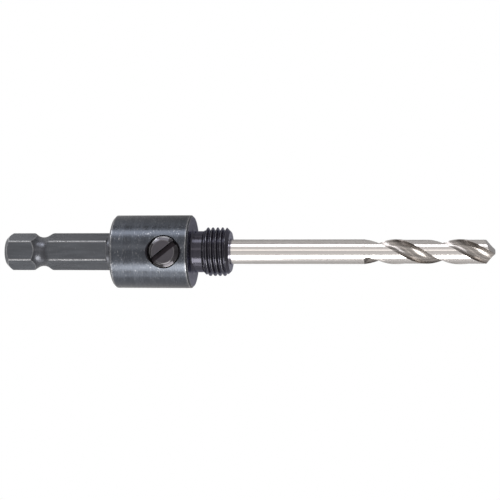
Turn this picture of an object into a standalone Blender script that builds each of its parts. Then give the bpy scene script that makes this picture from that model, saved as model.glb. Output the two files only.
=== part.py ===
"""Hole saw arbor with its pilot drill, lying on its round body.

X runs along the arbor towards the drill's point, +Z is up, and the set screw faces up.
The origin is under the middle of the whole length, on the surface that the body lies on.
"""

import cmath
import math

import bmesh
import bpy

MM = 0.001

# Hexagonal shank
SHANK_FLATS = 8.6 * MM
SHANK_LENGTH = 29.48 * MM
SHANK_EDGE_RADIUS = 0.3 * MM
SHANK_END_CHAMFER = 1.33 * MM
GROOVE_TO_SHANK_END = 9.75 * MM
GROOVE_DEPTH = 1.12 * MM
GROOVE_RADIUS = 3.0 * MM
GROOVE_SIDE_ANGLE = math.radians(40.0)
RELIEF_WIDTH = 1.5 * MM
RELIEF_ABOVE_FLATS = 0.03 * MM

# Round body
BODY_DIAMETER = 19.05 * MM
BODY_LENGTH = 20.56 * MM
BODY_REAR_CHAMFER = 0.55 * MM
BODY_FRONT_CHAMFER = 0.45 * MM

# Neck and threaded nose
NECK_LENGTH = 2.95 * MM
NECK_UNDERCUT = 0.2 * MM
NECK_FILLET = 0.7 * MM
THREAD_DIAMETER = 12.7 * MM
THREAD_PITCH = 1.27 * MM
THREAD_LENGTH = 7.03 * MM
THREAD_FLANK_ANGLE = math.radians(30.0)
THREAD_FIRST_CREST = 1.0 * MM
NOSE_CHAMFER = 1.15 * MM

# Pilot drill
PILOT_DIAMETER = 6.35 * MM
PILOT_REACH = 67.75 * MM
PILOT_TAIL = 5.0 * MM
PILOT_REAR_CHAMFER = 0.4 * MM
PILOT_FLAT_DEPTH = 0.75 * MM
PILOT_FLAT_MARGIN = 0.5 * MM
FLUTE_LENGTH = 33.07 * MM
FLUTE_LEAD = 32.24 * MM
FLUTE_RUNOUT = 4.0 * MM
LAND_ANGLE = math.radians(92.0)
WEB_THICKNESS = 1.0 * MM
MARGIN_WIDTH = 0.6 * MM
LAND_RELIEF = 0.12 * MM
POINT_ANGLE = math.radians(118.0)
LIP_DIRECTION = math.radians(75.0)
LIP_CLEARANCE = math.radians(11.3)
FLANK_RADIUS = 4.0 * MM

# Shape of the flutes: shares of the drill's radius, the heel's hook, and how much narrower a flute begins
GULLET_START = 0.32
GULLET_WEB_PULL = 0.33
GULLET_HEEL_PULL = 0.52
HEEL_HOOK = math.radians(18.0)
RUNOUT_NARROWING = 0.4

# Set screw
SCREW_DIAMETER = 7.94 * MM
SCREW_SETBACK = 6.19 * MM
SCREW_PROUD = 0.35 * MM
SCREW_TOP_CHAMFER = 0.9 * MM
SCREW_POINT_CHAMFER = 1.2 * MM
SLOT_WIDTH = 1.3 * MM
SLOT_DEPTH = 2.0 * MM
SLOT_DIRECTION = math.radians(38.0)
SCREW_HOLE_CHAMFER = 0.4 * MM
SCREW_HOLE_PAST_FLAT = 1.2 * MM

# Gap left between pieces, and the space left past the drill's hidden end
CLEARANCE = 0.3 * MM
BORE_END_GAP = 1.3 * MM

# Facets round a turned solid, how far a cutting tool's body runs past what it cuts, and the reach of a weld
ROUND_STEPS = 48
THREAD_STEPS = 48
FLUTE_STEPS_PER_TURN = 36
OVERRUN = 1.0 * MM
WELD_DISTANCE = 0.0001 * MM

# Stations along X
TOTAL_LENGTH = SHANK_LENGTH + BODY_LENGTH + NECK_LENGTH + THREAD_LENGTH + PILOT_REACH
SHANK_END_X = -TOTAL_LENGTH / 2
BODY_REAR_X = SHANK_END_X + SHANK_LENGTH
SHOULDER_X = BODY_REAR_X + BODY_LENGTH
THREAD_X = SHOULDER_X + NECK_LENGTH
NOSE_X = THREAD_X + THREAD_LENGTH
TIP_X = NOSE_X + PILOT_REACH
SCREW_X = SHOULDER_X - SCREW_SETBACK
PILOT_REAR_X = SCREW_X - PILOT_TAIL
FLUTE_START_X = TIP_X - FLUTE_LENGTH

# Radii, and heights above the arbor's axis
BODY_RADIUS = BODY_DIAMETER / 2
SHANK_CORNER_RADIUS = (SHANK_FLATS / 2 - SHANK_EDGE_RADIUS) / math.cos(math.pi / 6) + SHANK_EDGE_RADIUS
THREAD_RADIUS = THREAD_DIAMETER / 2
THREAD_CREST = THREAD_PITCH / 8
THREAD_DEPTH = 0.6134 * THREAD_PITCH
THREAD_ROOT_RADIUS = THREAD_RADIUS - THREAD_DEPTH
NECK_RADIUS = THREAD_ROOT_RADIUS - NECK_UNDERCUT
PILOT_RADIUS = PILOT_DIAMETER / 2
BORE_RADIUS = PILOT_RADIUS + CLEARANCE
PILOT_FLAT_HEIGHT = PILOT_RADIUS - PILOT_FLAT_DEPTH
LIP_CORNER_ANGLE = math.asin(WEB_THICKNESS / PILOT_DIAMETER)
SCREW_RADIUS = SCREW_DIAMETER / 2
SCREW_HOLE_RADIUS = SCREW_RADIUS + CLEARANCE
SCREW_POINT_HEIGHT = PILOT_FLAT_HEIGHT + CLEARANCE
SCREW_LENGTH = BODY_RADIUS + SCREW_PROUD - SCREW_POINT_HEIGHT
AXIS_Z = BODY_RADIUS * math.cos(math.pi / ROUND_STEPS)


def clear_scene():
    for item in list(bpy.data.objects):
        bpy.data.objects.remove(item, do_unlink=True)


def steel(name, colour, roughness):
    """A Principled material for bare or blackened steel."""
    material = bpy.data.materials.new(name)
    material.use_nodes = True
    shader = material.node_tree.nodes["Principled BSDF"]
    shader.inputs["Base Color"].default_value = (*colour, 1.0)
    shader.inputs["Metallic"].default_value = 1.0
    shader.inputs["Roughness"].default_value = roughness
    return material


def solid(name, bm):
    """Turn a finished bmesh into an object with its faces pointing out."""
    bmesh.ops.recalc_face_normals(bm, faces=bm.faces)
    mesh = bpy.data.meshes.new(name)
    bm.to_mesh(mesh)
    bm.free()
    piece = bpy.data.objects.new(name, mesh)
    bpy.context.scene.collection.objects.link(piece)
    return piece


def join_rings(bm, ring, following):
    """Face the strip between two rings of points, one of which may be a single point."""
    count = max(len(ring), len(following))
    for step in range(count):
        corners = [ring[step % len(ring)], ring[(step + 1) % len(ring)]]
        corners += [following[(step + 1) % len(following)], following[step % len(following)]]
        bm.faces.new(list(dict.fromkeys(corners)))


def turned(name, profile, upright=False):
    """Turn (place along the axis, radius) points about X, or about Z when upright.

    The facets are set so that one of them faces straight down.
    """
    bm = bmesh.new()
    rings = []
    for along, radius in profile:
        steps = ROUND_STEPS if radius > 0.0 else 1
        ring = []
        for step in range(steps):
            angle = 2.0 * math.pi * (step + 0.5) / steps
            across = radius * math.cos(angle)
            up = radius * math.sin(angle)
            ring.append(bm.verts.new((across, up, along) if upright else (along, across, up)))
        rings.append(ring)
    for ring, following in zip(rings, rings[1:]):
        join_rings(bm, ring, following)
    return solid(name, bm)


def block(name, low, high):
    """A rectangular block between two opposite corners."""
    bm = bmesh.new()
    bmesh.ops.create_cube(bm, size=1.0)
    for vertex in bm.verts:
        for axis in range(3):
            middle = (low[axis] + high[axis]) / 2
            vertex.co[axis] = middle + vertex.co[axis] * (high[axis] - low[axis])
    return solid(name, bm)


def weld(mesh):
    """Join the points that a Boolean leaves on one spot, so that the next one starts from a closed mesh."""
    bm = bmesh.new()
    bm.from_mesh(mesh)
    bmesh.ops.remove_doubles(bm, verts=bm.verts, dist=WELD_DISTANCE)
    bmesh.ops.dissolve_degenerate(bm, edges=bm.edges, dist=WELD_DISTANCE)
    bm.to_mesh(mesh)
    bm.free()


def shape_with(piece, tool, operation):
    """Cut, join or trim a piece with a tool's body, which is then thrown away."""
    modifier = piece.modifiers.new(operation.title(), 'BOOLEAN')
    modifier.operation = operation
    modifier.solver = 'EXACT'
    modifier.object = tool
    tool.hide_render = True
    tool.display_type = 'WIRE'
    graph = bpy.context.evaluated_depsgraph_get()
    shaped = bpy.data.meshes.new_from_object(piece.evaluated_get(graph))
    weld(shaped)
    piece.modifiers.clear()
    piece.data = shaped
    shaped.name = piece.name
    bpy.data.objects.remove(tool, do_unlink=True)


def finish(piece, material, axis_frame):
    """Shade a piece, give it its material and hang it on the arbor's axis."""
    piece.data.shade_smooth()
    piece.data.set_sharp_from_angle(angle=math.radians(32.0))
    piece.data.materials.clear()
    piece.data.materials.append(material)
    piece.parent = axis_frame


def hexagon_bar(name, start, end):
    """A bar with one flat facing up and its six long edges rounded."""
    centre_radius = SHANK_CORNER_RADIUS - SHANK_EDGE_RADIUS
    outline = []
    for corner in range(6):
        corner_angle = math.pi / 3 * corner
        for turn in (-math.pi / 6, 0.0, math.pi / 6):
            spot = cmath.rect(centre_radius, corner_angle)
            spot += cmath.rect(SHANK_EDGE_RADIUS, corner_angle + turn)
            outline.append((spot.real, spot.imag))
    bm = bmesh.new()
    rings = []
    for x in (start, end):
        rings.append([bm.verts.new((x, across, up)) for across, up in outline])
    join_rings(bm, *rings)
    for ring in rings:
        bm.faces.new(ring)
    return solid(name, bm)


def groove_profile(outer_radius):
    """The quick-change groove: straight sides that run into a round floor."""
    floor_radius = SHANK_CORNER_RADIUS - GROOVE_DEPTH
    centre_x = SHANK_END_X + GROOVE_TO_SHANK_END
    side_foot = floor_radius + GROOVE_RADIUS * (1.0 - math.cos(GROOVE_SIDE_ANGLE))
    side_run = (outer_radius - side_foot) / math.tan(GROOVE_SIDE_ANGLE)
    half_width = GROOVE_RADIUS * math.sin(GROOVE_SIDE_ANGLE) + side_run
    points = [(centre_x - half_width, outer_radius)]
    arc_steps = 8
    for step in range(arc_steps + 1):
        angle = GROOVE_SIDE_ANGLE * (2.0 * step / arc_steps - 1.0)
        rise = GROOVE_RADIUS * (1.0 - math.cos(angle))
        points.append((centre_x + GROOVE_RADIUS * math.sin(angle), floor_radius + rise))
    points.append((centre_x + half_width, outer_radius))
    return points


def shank():
    """Hexagonal bar, turned at its end, at the quick-change groove and at its root in the body."""
    root_x = BODY_REAR_X + BODY_LENGTH / 4
    bar = hexagon_bar("shank", SHANK_END_X - OVERRUN, root_x + OVERRUN)
    outer_radius = SHANK_CORNER_RADIUS + OVERRUN / 2
    relief_radius = SHANK_FLATS / 2 + RELIEF_ABOVE_FLATS
    relief_x = BODY_REAR_X - RELIEF_WIDTH
    profile = [(SHANK_END_X, 0.0)]
    profile.append((SHANK_END_X, SHANK_CORNER_RADIUS - SHANK_END_CHAMFER))
    profile.append((SHANK_END_X + SHANK_END_CHAMFER + OVERRUN / 2, outer_radius))
    profile += groove_profile(outer_radius)
    profile.append((relief_x - (outer_radius - relief_radius), outer_radius))
    profile.append((relief_x, relief_radius))
    profile.append((root_x, relief_radius))
    profile.append((root_x, 0.0))
    shape_with(bar, turned("shank_turning", profile), 'INTERSECT')
    return bar


def thread_profile():
    """One pitch of the thread as (place along the axis, radius) points, with its crest at the middle."""
    flank_run = THREAD_DEPTH * math.tan(THREAD_FLANK_ANGLE)
    crest_half = THREAD_CREST / 2
    root_edge = crest_half + flank_run
    rising = [(-THREAD_PITCH + root_edge, THREAD_ROOT_RADIUS), (-root_edge, THREAD_ROOT_RADIUS)]
    return rising + [(-crest_half, THREAD_RADIUS), (crest_half, THREAD_RADIUS)]


def threaded_bar(name, first_crest, turns):
    """A right-hand threaded bar, with its first crest's place on the +Y side; its ends are left rough."""
    profile = thread_profile()
    columns = turns * THREAD_STEPS
    bm = bmesh.new()
    grid = []
    for column in range(columns + 1):
        angle = 2.0 * math.pi * column / THREAD_STEPS
        across = math.cos(angle)
        up = math.sin(angle)
        helix_x = first_crest + THREAD_PITCH * column / THREAD_STEPS
        spots = [(helix_x + along, radius * across, radius * up) for along, radius in profile]
        grid.append([bm.verts.new(spot) for spot in spots])
    for column in range(columns):
        ahead = column + 1
        for place in range(len(profile) - 1):
            beside = place + 1
            corners = (grid[column][place], grid[ahead][place], grid[ahead][beside], grid[column][beside])
            bm.faces.new(corners)
        if ahead + THREAD_STEPS <= columns:
            next_turn = (grid[ahead + THREAD_STEPS][0], grid[column + THREAD_STEPS][0])
            bm.faces.new((grid[column][-1], grid[ahead][-1], *next_turn))
    rear = [grid[column][0] for column in range(THREAD_STEPS + 1)] + grid[0][:0:-1]
    front = [grid[column][-1] for column in range(columns - THREAD_STEPS, columns + 1)]
    front += grid[columns][-2::-1]
    for loop in (rear, front):
        hub = bm.verts.new((loop[0].co.x, 0.0, 0.0))
        join_rings(bm, [hub], loop)
    return solid(name, bm)


def threaded_nose():
    """Thread run out at 45 degrees into the neck and chamfered at the nose."""
    spare_turns = 3
    first_crest = THREAD_X + THREAD_FIRST_CREST - spare_turns * THREAD_PITCH
    turns = math.ceil(THREAD_LENGTH / THREAD_PITCH) + 2 * spare_turns
    nose = threaded_bar("nose", first_crest, turns)
    outer_radius = THREAD_RADIUS + OVERRUN
    inner_radius = NECK_RADIUS - OVERRUN
    profile = [(THREAD_X - OVERRUN, 0.0), (THREAD_X - OVERRUN, inner_radius)]
    profile.append((THREAD_X + outer_radius - NECK_RADIUS, outer_radius))
    profile.append((NOSE_X - NOSE_CHAMFER - OVERRUN, outer_radius))
    profile.append((NOSE_X, THREAD_RADIUS - NOSE_CHAMFER))
    profile.append((NOSE_X, 0.0))
    shape_with(nose, turned("nose_turning", profile), 'INTERSECT')
    return nose


def pilot_bore():
    """Blind bore for the drill's shank, from the nose, with a drilled bottom."""
    bottom_x = PILOT_REAR_X - BORE_END_GAP
    cone = BORE_RADIUS / math.tan(POINT_ANGLE / 2)
    mouth_x = NOSE_X + OVERRUN
    profile = [(bottom_x - cone, 0.0), (bottom_x, BORE_RADIUS), (mouth_x, BORE_RADIUS), (mouth_x, 0.0)]
    return turned("pilot_bore", profile)


def screw_hole():
    """Hole for the set screw, from the top of the body into the bore, with a countersunk mouth."""
    floor = PILOT_FLAT_HEIGHT - SCREW_HOLE_PAST_FLAT
    rim = BODY_RADIUS - SCREW_HOLE_CHAMFER
    mouth = BODY_RADIUS + OVERRUN
    profile = [(floor, 0.0), (floor, SCREW_HOLE_RADIUS), (rim, SCREW_HOLE_RADIUS)]
    profile += [(mouth, SCREW_HOLE_RADIUS + mouth - rim), (mouth, 0.0)]
    hole = turned("screw_hole", profile, upright=True)
    hole.location.x = SCREW_X
    return hole


def arbor_body():
    """One turned and milled steel piece: shank, round body, neck and threaded nose."""
    neck_root_x = THREAD_X + THREAD_LENGTH / 2
    profile = [(BODY_REAR_X, 0.0), (BODY_REAR_X, BODY_RADIUS - BODY_REAR_CHAMFER)]
    profile.append((BODY_REAR_X + BODY_REAR_CHAMFER, BODY_RADIUS))
    profile.append((SHOULDER_X - BODY_FRONT_CHAMFER, BODY_RADIUS))
    profile.append((SHOULDER_X, BODY_RADIUS - BODY_FRONT_CHAMFER))
    fillet_steps = 4
    for step in range(fillet_steps + 1):
        angle = math.pi / 2 * step / fillet_steps
        fillet_x = SHOULDER_X + NECK_FILLET * (1.0 - math.cos(angle))
        profile.append((fillet_x, NECK_RADIUS + NECK_FILLET * (1.0 - math.sin(angle))))
    profile += [(neck_root_x, NECK_RADIUS), (neck_root_x, 0.0)]
    body = turned("arbor_body", profile)
    shape_with(body, shank(), 'UNION')
    shape_with(body, threaded_nose(), 'UNION')
    shape_with(body, pilot_bore(), 'DIFFERENCE')
    shape_with(body, screw_hole(), 'DIFFERENCE')
    return body


def flank_drop(along, behind):
    """How far a ground flank falls back, along the lip and behind it."""
    trail = behind + WEB_THICKNESS / 2
    drop = along / math.tan(POINT_ANGLE / 2)
    return drop + trail * math.tan(LIP_CLEARANCE) + trail ** 2 / (2.0 * FLANK_RADIUS)


def flute_face():
    """The flute's wall in front of the lip, which gives a straight lip at the point angle."""
    half_web = WEB_THICKNESS / 2
    corner_along = PILOT_RADIUS * math.cos(LIP_CORNER_ANGLE)
    inner_along = GULLET_START * PILOT_RADIUS
    face_steps = 5
    points = []
    for step in range(1, face_steps + 1):
        along = corner_along + (inner_along - corner_along) * step / face_steps
        setback = (corner_along - along) / math.tan(POINT_ANGLE / 2)
        angle = math.atan2(half_web, along) - 2.0 * math.pi * setback / FLUTE_LEAD
        points.append((math.hypot(along, half_web), angle))
    return points


def gullet(face, heel_angle):
    """The round back of the flute, from the end of the lip's face to the next land's heel."""
    before, start = [cmath.rect(radius, angle) for radius, angle in face[-2:]]
    heel = cmath.rect(PILOT_RADIUS - LAND_RELIEF, heel_angle)
    inward = (start - before) / abs(start - before)
    start_handle = start + GULLET_WEB_PULL * PILOT_RADIUS * inward
    heel_handle = heel - cmath.rect(GULLET_HEEL_PULL * PILOT_RADIUS, heel_angle - HEEL_HOOK)
    gullet_steps = 8
    points = []
    for step in range(1, gullet_steps):
        t = step / gullet_steps
        spot = (1 - t) ** 3 * start + 3 * t * (1 - t) ** 2 * start_handle
        spot += 3 * t * t * (1 - t) * heel_handle + t ** 3 * heel
        points.append(cmath.polar(spot))
    return points


def half_section(depth):
    """One land and one flute as (radius, angle) points from the land's heel onwards.

    Depth runs from 0, where the shank is still round, to 1, where the flute is full.
    A shallow flute is also narrower on its leading side, as a cutter leaves it.
    """
    heel = LIP_CORNER_ANGLE - LAND_ANGLE
    next_heel = heel + math.pi
    width = 1.0 - RUNOUT_NARROWING * (1.0 - depth)
    lifted_corner = next_heel - (next_heel - LIP_CORNER_ANGLE) * width
    margin = MARGIN_WIDTH / PILOT_RADIUS
    margin_step = LAND_RELIEF / PILOT_RADIUS
    land_end = lifted_corner - margin - margin_step
    land_steps = 6
    points = []
    for step in range(land_steps + 1):
        points.append((PILOT_RADIUS - LAND_RELIEF * depth, heel + (land_end - heel) * step / land_steps))
    points.append((PILOT_RADIUS, lifted_corner - margin))
    points.append((PILOT_RADIUS, lifted_corner))
    face = flute_face()
    flute = face + gullet(face, next_heel)
    for place, (radius, angle) in enumerate(flute, start=1):
        if depth == 0.0:
            angle = LIP_CORNER_ANGLE + (next_heel - LIP_CORNER_ANGLE) * place / (len(flute) + 1)
        radius = PILOT_RADIUS - (PILOT_RADIUS - radius) * depth
        points.append((radius, next_heel - (next_heel - angle) * width))
    return points


def drill_ring(bm, x, depth):
    """A ring of points round the drill, turned by the flutes' helix."""
    corner_drop = flank_drop(PILOT_RADIUS * math.cos(LIP_CORNER_ANGLE), -WEB_THICKNESS / 2)
    lip_corner_x = TIP_X + flank_drop(0.0, 0.0) - corner_drop
    turn = LIP_DIRECTION + 2.0 * math.pi * (x - lip_corner_x) / FLUTE_LEAD
    ring = []
    for half in range(2):
        for radius, angle in half_section(depth):
            place = angle + turn + math.pi * half
            ring.append(bm.verts.new((x, radius * math.cos(place), radius * math.sin(place))))
    return ring


def plain_ring(bm, x, radius):
    """A round ring of the drill's plain shank, with its points in line with where the flutes begin."""
    ring = drill_ring(bm, FLUTE_START_X, 0.0)
    for vertex in ring:
        vertex.co = (x, vertex.co.y * radius / PILOT_RADIUS, vertex.co.z * radius / PILOT_RADIUS)
    return ring


def point_blank():
    """A bar with the drill's ground point: two relieved flanks that meet at the chisel edge."""
    chisel_slope = math.tan(LIP_CLEARANCE) + WEB_THICKNESS / (2.0 * FLANK_RADIUS)
    chisel_angle = math.atan2(-1.0, -chisel_slope * math.tan(POINT_ANGLE / 2))
    radial_steps = 7
    around_steps = 32
    blank_radius = PILOT_RADIUS + OVERRUN
    peak_x = TIP_X + flank_drop(0.0, 0.0)
    bm = bmesh.new()
    rings = [[bm.verts.new((TIP_X, 0.0, 0.0))]]
    for radial in range(1, radial_steps + 1):
        radius = blank_radius * radial / radial_steps
        ring = []
        for step in range(around_steps):
            angle = chisel_angle + 2.0 * math.pi * step / around_steps
            along = radius * math.cos(angle)
            behind = -radius * math.sin(angle)
            drop = max(flank_drop(along, behind), flank_drop(-along, -behind))
            place = angle + LIP_DIRECTION
            ring.append(bm.verts.new((peak_x - drop, radius * math.cos(place), radius * math.sin(place))))
        rings.append(ring)
    rear_x = PILOT_REAR_X - OVERRUN
    rings.append([bm.verts.new((rear_x, vertex.co.y, vertex.co.z)) for vertex in rings[-1]])
    rings.append([bm.verts.new((rear_x, 0.0, 0.0))])
    for ring, following in zip(rings, rings[1:]):
        join_rings(bm, ring, following)
    return solid("point_blank", bm)


def split_lands(bm):
    """Split the lands' quads across their short way, so that the helix leaves them round."""
    land_floor = PILOT_RADIUS - 2.0 * LAND_RELIEF
    lands = []
    for face in bm.faces:
        if min(math.hypot(vertex.co.y, vertex.co.z) for vertex in face.verts) > land_floor:
            lands.append(face)
    bmesh.ops.triangulate(bm, faces=lands, quad_method='SHORT_EDGE')


def pilot_drill():
    """Two-flute twist drill: plain shank, helical flutes, ground point and a flat for the set screw."""
    bm = bmesh.new()
    rings = [[bm.verts.new((PILOT_REAR_X, 0.0, 0.0))]]
    rings.append(plain_ring(bm, PILOT_REAR_X, PILOT_RADIUS - PILOT_REAR_CHAMFER))
    rings.append(plain_ring(bm, PILOT_REAR_X + PILOT_REAR_CHAMFER, PILOT_RADIUS))
    rings.append(plain_ring(bm, FLUTE_START_X, PILOT_RADIUS))
    runout_rings = 6
    for step in range(1, runout_rings + 1):
        part = step / runout_rings
        depth = math.sqrt(1.0 - (1.0 - part * part) ** 2)
        rings.append(drill_ring(bm, FLUTE_START_X + FLUTE_RUNOUT * part * part, depth))
    full_length = FLUTE_LENGTH - FLUTE_RUNOUT + OVERRUN
    full_rings = math.ceil(FLUTE_STEPS_PER_TURN * full_length / FLUTE_LEAD)
    for step in range(1, full_rings + 1):
        rings.append(drill_ring(bm, FLUTE_START_X + FLUTE_RUNOUT + full_length * step / full_rings, 1.0))
    rings.append([bm.verts.new((TIP_X + OVERRUN, 0.0, 0.0))])
    for ring, following in zip(rings, rings[1:]):
        join_rings(bm, ring, following)
    split_lands(bm)
    drill = solid("pilot_drill", bm)
    shape_with(drill, point_blank(), 'INTERSECT')
    flat_reach = SCREW_RADIUS + PILOT_FLAT_MARGIN
    low = (SCREW_X - flat_reach, -2.0 * PILOT_RADIUS, PILOT_FLAT_HEIGHT)
    high = (SCREW_X + flat_reach, 2.0 * PILOT_RADIUS, 2.0 * PILOT_RADIUS)
    shape_with(drill, block("screw_flat", low, high), 'DIFFERENCE')
    return drill


def set_screw():
    """Slotted headless screw that clamps the drill's flat, with its origin on its own axis."""
    shoulder = SCREW_LENGTH - SCREW_TOP_CHAMFER
    profile = [(0.0, 0.0), (0.0, SCREW_RADIUS - SCREW_POINT_CHAMFER)]
    profile += [(SCREW_POINT_CHAMFER, SCREW_RADIUS), (shoulder, SCREW_RADIUS)]
    profile += [(SCREW_LENGTH, SCREW_RADIUS - SCREW_TOP_CHAMFER), (SCREW_LENGTH, 0.0)]
    screw = turned("set_screw", profile, upright=True)
    low = (-2.0 * SCREW_RADIUS, -SLOT_WIDTH / 2, SCREW_LENGTH - SLOT_DEPTH)
    high = (2.0 * SCREW_RADIUS, SLOT_WIDTH / 2, SCREW_LENGTH + OVERRUN)
    shape_with(screw, block("driver_slot", low, high), 'DIFFERENCE')
    screw.location = (SCREW_X, 0.0, SCREW_POINT_HEIGHT)
    screw.rotation_euler.z = SLOT_DIRECTION
    return screw


def build():
    clear_scene()
    axis_frame = bpy.data.objects.new("arbor_axis", None)
    axis_frame.location.z = AXIS_Z
    bpy.context.scene.collection.objects.link(axis_frame)
    finish(arbor_body(), steel("blackened_steel", (0.085, 0.09, 0.1), 0.38), axis_frame)
    finish(pilot_drill(), steel("bright_tool_steel", (0.72, 0.7, 0.68), 0.2), axis_frame)
    finish(set_screw(), steel("dark_screw_steel", (0.07, 0.07, 0.075), 0.42), axis_frame)


build()
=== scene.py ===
"""Hole saw arbor with its pilot drill, seen from above on a white ground."""

import cmath
import math

import bmesh
import bpy
import numpy as np
from mathutils import Matrix, Vector


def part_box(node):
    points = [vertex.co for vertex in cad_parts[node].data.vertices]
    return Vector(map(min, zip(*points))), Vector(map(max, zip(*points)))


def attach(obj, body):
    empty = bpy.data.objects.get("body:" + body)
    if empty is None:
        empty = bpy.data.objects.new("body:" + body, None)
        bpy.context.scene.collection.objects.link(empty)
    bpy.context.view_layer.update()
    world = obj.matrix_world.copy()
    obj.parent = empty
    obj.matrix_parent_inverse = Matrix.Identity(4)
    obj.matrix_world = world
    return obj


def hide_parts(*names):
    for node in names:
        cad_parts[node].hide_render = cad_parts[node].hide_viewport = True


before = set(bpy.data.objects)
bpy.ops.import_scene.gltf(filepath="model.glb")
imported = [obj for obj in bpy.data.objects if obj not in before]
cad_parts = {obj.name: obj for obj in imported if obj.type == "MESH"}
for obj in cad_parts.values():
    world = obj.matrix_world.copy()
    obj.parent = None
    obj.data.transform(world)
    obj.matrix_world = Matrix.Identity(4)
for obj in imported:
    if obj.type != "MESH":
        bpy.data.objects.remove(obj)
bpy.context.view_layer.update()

# Arbor body. One steel bar: hexagonal shank with a quick-change groove, round body, necked and
# threaded nose. Turned and milled, then black oxide, which wears to a lighter grey on its edges.
MM = 0.001
arbor_low, arbor_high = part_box("arbor_body")
SHANK_END_X = arbor_low.x
NOSE_X = arbor_high.x
SHANK_FLATS = 8.6 * MM
SHANK_LENGTH = 29.48 * MM
SHANK_EDGE_RADIUS = 0.3 * MM
SHANK_END_CHAMFER = 1.33 * MM
GROOVE_TO_SHANK_END = 9.75 * MM
GROOVE_DEPTH = 1.12 * MM
GROOVE_RADIUS = 3.0 * MM
GROOVE_SIDE_ANGLE = math.radians(40.0)
SHANK_END_BLEND = 0.12 * MM
GROOVE_BLEND = 0.45 * MM
CORNER_SETBACK = 0.38 * MM
RELIEF_BLEND = 0.05 * MM
RELIEF_WALL = 0.06 * MM
RELIEF_WIDTH = 1.5 * MM
RELIEF_ABOVE_FLATS = 0.03 * MM
RELIEF_WALL_FILLET = 0.05 * MM
RELIEF_END_FILLET = 0.3 * MM
RELIEF_ROUND_END = 0.35 * MM
SHANK_TURN = math.radians(-4.0)
BODY_RADIUS = 19.05 / 2 * MM
BODY_LENGTH = 20.56 * MM
BODY_REAR_CHAMFER = 0.55 * MM
BODY_FRONT_CHAMFER = 0.45 * MM
NECK_LENGTH = 2.95 * MM
NECK_UNDERCUT = 0.2 * MM
NECK_FILLET = 0.7 * MM
THREAD_RADIUS = 12.7 / 2 * MM
THREAD_PITCH = 1.27 * MM
THREAD_FLANK_ANGLE = math.radians(30.0)
THREAD_DEPTH_SHARE = 0.6134
THREAD_ROOT_FILLET = 0.1 * MM
THREAD_CREST_FILLET = 0.05 * MM
THREAD_END_BLEND = 0.06 * MM
THREAD_FIRST_CREST = 1.0 * MM
NOSE_CHAMFER = 1.15 * MM
BORE_RADIUS = 3.23 * MM
BORE_MOUTH_CHAMFER = 0.35 * MM
BORE_DEPTH = 22.4 * MM
BORE_CONE_SHARE = 0.6
SCREW_HOLE_RADIUS = 4.27 * MM
SCREW_HOLE_CHAMFER = 0.4 * MM
SCREW_HOLE_FLOOR = 1.225 * MM
SCREW_HOLE_OVERCUT = 1.5 * MM
EDGE_BREAK = 0.12 * MM
CORNER_STEPS = 6
FLAT_STEPS = 22
ROUND_STEPS = 128
ARC_STEP = math.radians(15.0)
EDGE_SUPPORT = 0.04 * MM
EDGE_SUPPORT_SHARE = 0.3
SHARP_ANGLE = math.radians(32.0)
CLEAR_OF_CORNERS = 0.3 * MM
JOIN_REACH = 1e-7
SLIVER_LENGTH = 1e-8
CUT_JOIN_REACH = 3e-7
CUT_SLIVER_LENGTH = 1e-7
TINY = 1e-9

BODY_REAR_X = SHANK_END_X + SHANK_LENGTH
SHOULDER_X = BODY_REAR_X + BODY_LENGTH
THREAD_X = SHOULDER_X + NECK_LENGTH
CORNER_RADIUS = (SHANK_FLATS / 2 - SHANK_EDGE_RADIUS) / math.cos(math.pi / 6) + SHANK_EDGE_RADIUS
# The solid body has 48 sides and lies on one of them.
AXIS_Z = BODY_RADIUS * math.cos(math.pi / 48)
screw_low, screw_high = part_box("set_screw")
SCREW_X = (screw_low.x + screw_high.x) / 2


def rounded(corners, fine, coarse):
    """A dense line through (place, radius, fillet) corners, with fine steps on its slopes."""
    points = [complex(*corner[:2]) for corner in corners]
    stops = [(points[0], points[0], 0.0, 0.0)]
    for before, here, after, corner in zip(points, points[1:], points[2:], corners[1:]):
        arriving = (here - before) / abs(here - before)
        leaving = (after - here) / abs(after - here)
        turn = cmath.phase(leaving / arriving)
        tangent = corner[2] * math.tan(abs(turn) / 2)
        stops.append((here - tangent * arriving, here + tangent * leaving, turn, corner[2]))
    stops.append((points[-1], points[-1], 0.0, 0.0))
    line = [points[0]]
    for (_, start, _, _), (stop, _, turn, fillet) in zip(stops, stops[1:]):
        run = stop - start
        sloped = abs(run.real) > TINY and abs(run.imag) > TINY
        count = max(1, math.ceil(abs(run) / (fine if sloped else coarse)))
        support = min(EDGE_SUPPORT / max(abs(run), TINY), EDGE_SUPPORT_SHARE)
        shares = [step / count for step in range(1, count + 1)]
        if count == 1 or not sloped:
            shares = sorted(set(shares + [support, 1.0 - support]))
        if abs(run) > TINY:
            line += [start + run * share for share in shares]
        if fillet:
            arriving = run / abs(run)
            side = math.copysign(1.0, turn) * 1j * arriving * fillet
            arc_steps = max(3, round(abs(turn) / ARC_STEP))
            for step in range(1, arc_steps + 1):
                line.append(stop + side - side * cmath.exp(1j * turn * step / arc_steps))
    return [(spot.real, spot.imag) for spot in line]


def softer_of(first, second, blend):
    """The smaller of two radii, rounded over where they meet."""
    overlap = np.maximum(blend - np.abs(first - second), 0.0) / blend
    return np.minimum(first, second) - overlap ** 2 * blend / 4


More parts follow.
